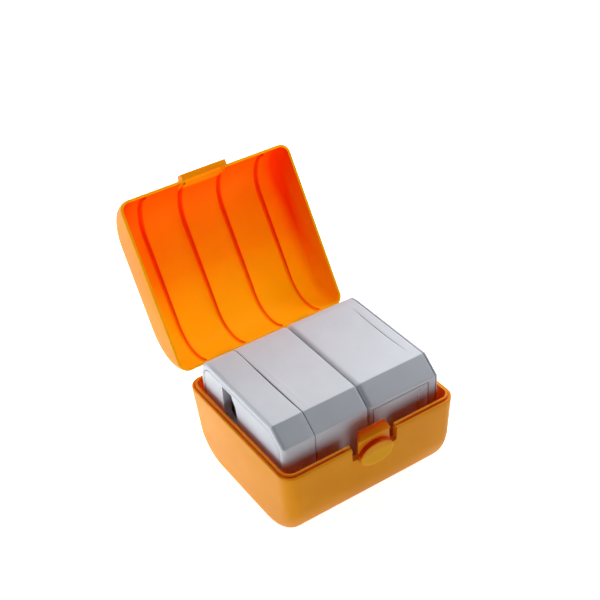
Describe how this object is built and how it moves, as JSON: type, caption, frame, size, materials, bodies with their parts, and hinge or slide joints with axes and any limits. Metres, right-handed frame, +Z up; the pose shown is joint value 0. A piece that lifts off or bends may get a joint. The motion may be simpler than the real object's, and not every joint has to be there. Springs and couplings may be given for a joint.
{
  "type": "cased plug adapter set",
  "caption": "Snap-latch carrying case with a hinged lid, holding a socket module with a stepped plug opening beside a fused plug module.",
  "frame": {"origin": "middle of the flat bottom of the case", "axes": "+X along the hinge to the right as seen from the latch, +Y from the latch to the hinge, +Z up"},
  "size_m": [0.085, 0.132, 0.1102],
  "materials": {
    "orange_plastic": "moulded, satin, slightly translucent",
    "grey_plastic": "moulded, fine matt",
    "white_plastic": "moulded, fine matt",
    "dark_plastic": "moulded, matt",
    "brass": "stamped",
    "steel": "bright",
    "ceramic": "fired tube"
  },
  "bodies": {
    "case_body": {"case_base": "orange_plastic", "hinge_pin": "steel"},
    "lid": {"case_lid": "orange_plastic"},
    "latch": {"latch_tongue": "orange_plastic"},
    "socket_module": {"socket_body": "grey_plastic", "socket_end_cap": "white_plastic", "socket_face_plate": "white_plastic", "contact_carrier": "dark_plastic", "socket_line_contact": "brass", "socket_neutral_contact": "brass", "socket_earth_contact": "brass", "shutter_spring": "steel", "socket_screw_1": "steel", "socket_screw_2": "steel"},
    "shutter": {"socket_shutter": "dark_plastic"},
    "plug_module": {"plug_body": "grey_plastic", "plug_end_cap": "grey_plastic", "fuse_body": "ceramic", "fuse_end_cap_left": "steel", "fuse_end_cap_right": "steel", "fuse_clip_left": "brass", "fuse_clip_right": "brass", "fuse_holder": "dark_plastic", "pin_carrier": "dark_plastic", "plug_line_pin": "brass", "plug_neutral_pin": "brass", "plug_earth_pin": "brass", "plug_screw_1": "steel", "plug_screw_2": "steel"},
    "cover": {"fuse_cover": "grey_plastic"}
  },
  "joints": [
    {"name": "lid_hinge", "type": "hinge", "parent": "case_body", "child": "lid", "pos_m": [0, 0.0408, 0.04006], "axis": [-1, 0, 0], "range_deg": [-121, 0]},
    {"name": "latch_flex", "type": "hinge", "parent": "case_body", "child": "latch", "pos_m": [0, -0.03745, 0.0333], "axis": [-1, 0, 0], "range_deg": [0, 8]},
    {"name": "socket_module_lift", "type": "slide", "parent": "case_body", "child": "socket_module", "axis": [0, 0, 1], "range_m": [0, 0.06]},
    {"name": "plug_module_lift", "type": "slide", "parent": "case_body", "child": "plug_module", "axis": [0, 0, 1], "range_m": [0, 0.06]},
    {"name": "shutter_slide", "type": "slide", "parent": "socket_module", "child": "shutter", "axis": [0, 0, 1], "range_m": [0, 0.004], "deforming": ["shutter_spring"]},
    {"name": "fuse_cover_pull", "type": "slide", "parent": "plug_module", "child": "cover", "axis": [0, -1, 0], "range_m": [0, 0.0022]}
  ]
}
